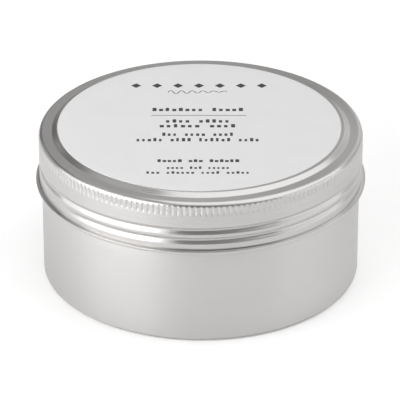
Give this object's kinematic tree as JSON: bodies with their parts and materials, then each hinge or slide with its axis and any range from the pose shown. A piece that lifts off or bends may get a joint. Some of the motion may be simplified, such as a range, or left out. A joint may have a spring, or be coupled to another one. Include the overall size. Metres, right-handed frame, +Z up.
{
  "type": "shaving soap tin",
  "caption": "Round aluminium screw-top tin with a raised, labelled lid panel, knurled grip band and rolled hem, holding a cast puck of shaving soap under a foam liner.",
  "frame": {"origin": "centre of the tin's footprint, on the surface that it stands on", "axes": "+Z up along the tin's axis, through the lid; the label reads from -Y, so the front is at -Y and +X is to the reader's right"},
  "size_m": [0.0954, 0.0954, 0.0454],
  "materials": {
    "tin_aluminium": "satin drawn sheet, clear lacquered",
    "lid_aluminium": "satin spun sheet, clear lacquered",
    "soap": "smooth waxy cast soap",
    "liner_foam": "fine closed-cell white foam",
    "lid_label_paper": "matt uncoated off-white paper",
    "base_label_paper": "matt uncoated off-white paper",
    "label_print": "matt dark grey ink"
  },
  "bodies": {
    "tin": {"tin_body": "tin_aluminium", "soap_puck": "soap", "base_label": "base_label_paper"},
    "liner": {"lid_liner": "liner_foam"},
    "lid": {"lid_shell": "lid_aluminium", "lid_label": "lid_label_paper"}
  },
  "joints": [
    {"name": "lid_rise", "type": "slide", "parent": "tin", "child": "liner", "axis": [0, 0, 1], "range_m": [0, 0.048]},
    {"name": "lid_turn", "type": "hinge", "parent": "liner", "child": "lid", "pos_m": [0, 0, 0.04], "axis": [0, 0, 1], "range_deg": [0, 5760]}
  ],
  "couplings": [
    {"joint": "lid_rise", "follows": "lid_turn", "m_per_rad": 0.00047746}
  ]
}
